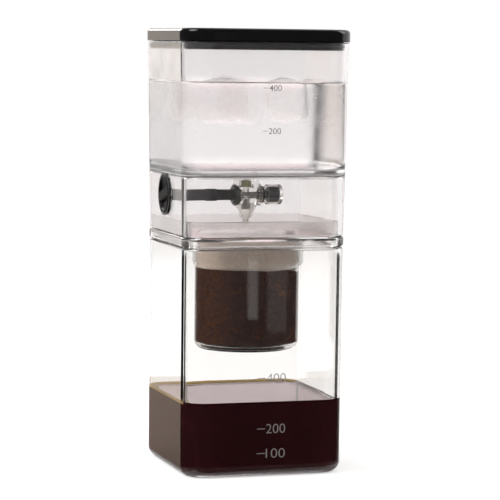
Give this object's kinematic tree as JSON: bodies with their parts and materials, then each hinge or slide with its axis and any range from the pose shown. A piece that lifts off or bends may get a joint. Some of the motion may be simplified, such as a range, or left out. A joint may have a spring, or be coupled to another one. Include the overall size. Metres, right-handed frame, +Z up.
{
  "type": "cold brew coffee maker",
  "caption": "Square clear drip tower: lidded water tank with a knob-set drip valve, round coffee cup on a square flange, and a server below.",
  "frame": {"origin": "centre of the server's flat underside, on the surface that the maker stands on", "axes": "+Z up through the stack, +X along the front face away from the control knob, +Y from the front face to the back"},
  "size_m": [0.0974, 0.0974, 0.246],
  "materials": {
    "clear_plastic": "clear, polished",
    "black_plastic": "moulded, glossy",
    "black_silicone": "satin",
    "pale_silicone": "translucent, satin",
    "white_plastic": "moulded, matt",
    "stainless_steel": "etched, satin"
  },
  "bodies": {
    "server": {"server": "clear_plastic"},
    "dripper": {"dripper_cup": "clear_plastic"},
    "filter": {"filter_frame": "black_plastic", "filter_mesh": "stainless_steel"},
    "tank": {"water_tank": "clear_plastic", "knob_bezel": "black_plastic", "valve_body": "clear_plastic", "inlet_gasket": "pale_silicone", "orifice_seat": "white_plastic"},
    "valve_control": {"knob": "black_plastic", "drive_rod": "black_plastic", "valve_spindle": "black_plastic", "metering_pin": "stainless_steel", "o_ring_left": "black_silicone", "o_ring_right": "black_silicone", "retaining_disc": "black_plastic", "end_cap": "black_plastic", "end_cover": "clear_plastic"},
    "lid": {"lid_cap": "black_plastic", "lid_seal": "black_silicone"}
  },
  "joints": [
    {"name": "dripper_lift", "type": "slide", "parent": "server", "child": "dripper", "axis": [0, 0, 1], "range_m": [0, 0.075]},
    {"name": "filter_lift", "type": "slide", "parent": "dripper", "child": "filter", "axis": [0, 0, 1], "range_m": [0, 0.06]},
    {"name": "tank_lift", "type": "slide", "parent": "dripper", "child": "tank", "axis": [0, 0, 1], "range_m": [0, 0.05]},
    {"name": "lid_lift", "type": "slide", "parent": "tank", "child": "lid", "axis": [0, 0, 1], "range_m": [0, 0.03]},
    {"name": "knob_turn", "type": "hinge", "parent": "tank", "child": "valve_control", "pos_m": [-0.048, 0, 0.1537], "axis": [1, 0, 0], "range_deg": [-165, 15]}
  ]
}
